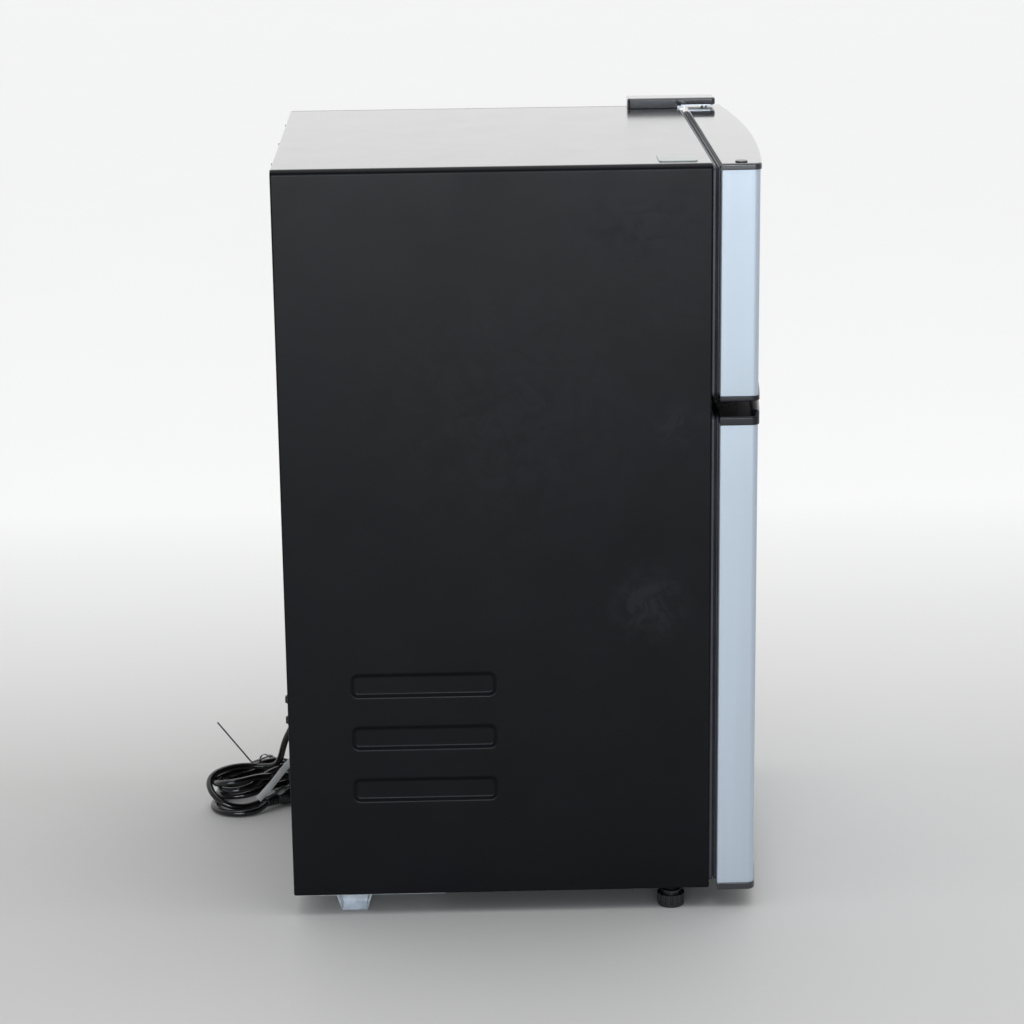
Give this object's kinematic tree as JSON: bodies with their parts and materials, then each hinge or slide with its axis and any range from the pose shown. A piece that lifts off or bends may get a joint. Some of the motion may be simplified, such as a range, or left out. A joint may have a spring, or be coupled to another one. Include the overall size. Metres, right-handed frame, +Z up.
{
  "type": "compact two-door refrigerator",
  "caption": "Free-standing compact refrigerator with a separate top freezer door, black steel cabinet, bulged silver doors hinged on one side, and a tied power cord behind.",
  "frame": {"origin": "on the floor under the middle of the appliance's own box, cord and plug left out", "axes": "+Z up; door fronts towards -Y; back towards +Y; hinge side at +X, handle side at -X"},
  "size_m": [0.472, 0.6519, 0.85],
  "materials": {
    "black_painted_steel": "semi-gloss smooth black enamel",
    "silver_steel": "satin silver, fine upright brushing",
    "zinc_plated_steel": "bright zinc plate",
    "black_plastic": "smooth black",
    "black_screws": "black oxide",
    "white_plastic": "smooth white",
    "clear_plastic": "clear, slightly blue",
    "shelf_glass": "clear tempered glass with green edges",
    "seal_rubber": "soft matt dark grey",
    "foam": null,
    "evaporator_aluminium": "bare roll-bonded sheet",
    "condenser_steel": "dark coated tube",
    "copper": null,
    "compressor_black": "black enamel",
    "black_rubber": "flexible black vinyl and rubber",
    "white_wire": "white powder coat on wire",
    "grey_plastic": "light grey",
    "paper": "white coated paper tag"
  },
  "bodies": {
    "cabinet": {"top_panel": "black_painted_steel", "side_panel_left": "black_painted_steel", "side_panel_right": "black_painted_steel", "back_panel": "black_painted_steel", "base_pan": "zinc_plated_steel", "insulation_foam": "foam", "freezer_liner": "white_plastic", "fridge_liner": "white_plastic", "mullion_bar": "white_plastic", "evaporator": "evaporator_aluminium", "condenser_tube": "condenser_steel", "top_hinge": "zinc_plated_steel", "top_hinge_cover": "black_plastic", "middle_hinge": "zinc_plated_steel", "bottom_hinge": "zinc_plated_steel", "hinge_screws": "zinc_plated_steel", "hinge_hole_cover": "grey_plastic", "thermostat_housing": "white_plastic", "freezer_shelf": "white_wire", "crisper_cover": "shelf_glass", "compressor_base_plate": "zinc_plated_steel", "compressor": "compressor_black", "compressor_grommets": "black_rubber", "compressor_bolts": "zinc_plated_steel", "relay_cover": "black_plastic", "filter_drier": "copper", "refrigerant_tubes": "copper", "drip_tray": "black_plastic", "drain_tube": "black_plastic", "back_screws": "black_screws", "cord_grip": "black_plastic", "power_cord": "black_rubber", "cord_hank": "black_rubber", "power_plug": "black_rubber", "cord_tie": "black_plastic", "cord_tag": "paper"},
    "freezer_door": {"freezer_door_panel": "silver_steel", "freezer_cap_top": "black_plastic", "freezer_cap_bottom": "black_plastic", "freezer_door_liner": "white_plastic", "freezer_door_gasket": "seal_rubber", "freezer_door_foam": "foam", "freezer_door_rack": "white_plastic", "door_hole_plug": "black_plastic"},
    "fridge_door": {"fridge_door_panel": "silver_steel", "fridge_cap_top": "black_plastic", "fridge_cap_bottom": "black_plastic", "fridge_door_liner": "white_plastic", "fridge_door_gasket": "seal_rubber", "fridge_door_foam": "foam", "fridge_bin_upper": "clear_plastic", "fridge_bin_lower": "clear_plastic"},
    "shelf_upper": {"shelf_upper_glass": "shelf_glass", "shelf_upper_trims": "white_plastic"},
    "shelf_lower": {"shelf_lower_glass": "shelf_glass", "shelf_lower_trims": "white_plastic"},
    "crisper": {"crisper_drawer": "clear_plastic"},
    "thermostat_dial": {"thermostat_knob": "grey_plastic"},
    "foot_left": {"front_foot_left": "black_plastic"},
    "foot_right": {"front_foot_right": "black_plastic"}
  },
  "joints": [
    {"name": "freezer_door_hinge", "type": "hinge", "parent": "cabinet", "child": "freezer_door", "pos_m": [0.223, -0.232, 0.71], "axis": [0, 0, 1], "range_deg": [0, 130]},
    {"name": "fridge_door_hinge", "type": "hinge", "parent": "cabinet", "child": "fridge_door", "pos_m": [0.223, -0.232, 0.293], "axis": [0, 0, 1], "range_deg": [0, 130]},
    {"name": "shelf_upper_slide", "type": "slide", "parent": "cabinet", "child": "shelf_upper", "axis": [0, -1, 0], "range_m": [0, 0.025]},
    {"name": "shelf_lower_slide", "type": "slide", "parent": "cabinet", "child": "shelf_lower", "axis": [0, -1, 0], "range_m": [0, 0.025]},
    {"name": "crisper_slide", "type": "slide", "parent": "cabinet", "child": "crisper", "axis": [0, -1, 0], "range_m": [0, 0.034]},
    {"name": "thermostat_turn", "type": "hinge", "parent": "cabinet", "child": "thermostat_dial", "pos_m": [0.15, 0, 0.507], "axis": [-1, 0, 0], "range_deg": [-150, 150]},
    {"name": "foot_left_turn", "type": "hinge", "parent": "cabinet", "child": "foot_left", "pos_m": [-0.22, -0.16, 0.01], "axis": [0, 0, 1], "continuous": true},
    {"name": "foot_right_turn", "type": "hinge", "parent": "cabinet", "child": "foot_right", "pos_m": [0.22, -0.16, 0.01], "axis": [0, 0, 1], "continuous": true}
  ]
}
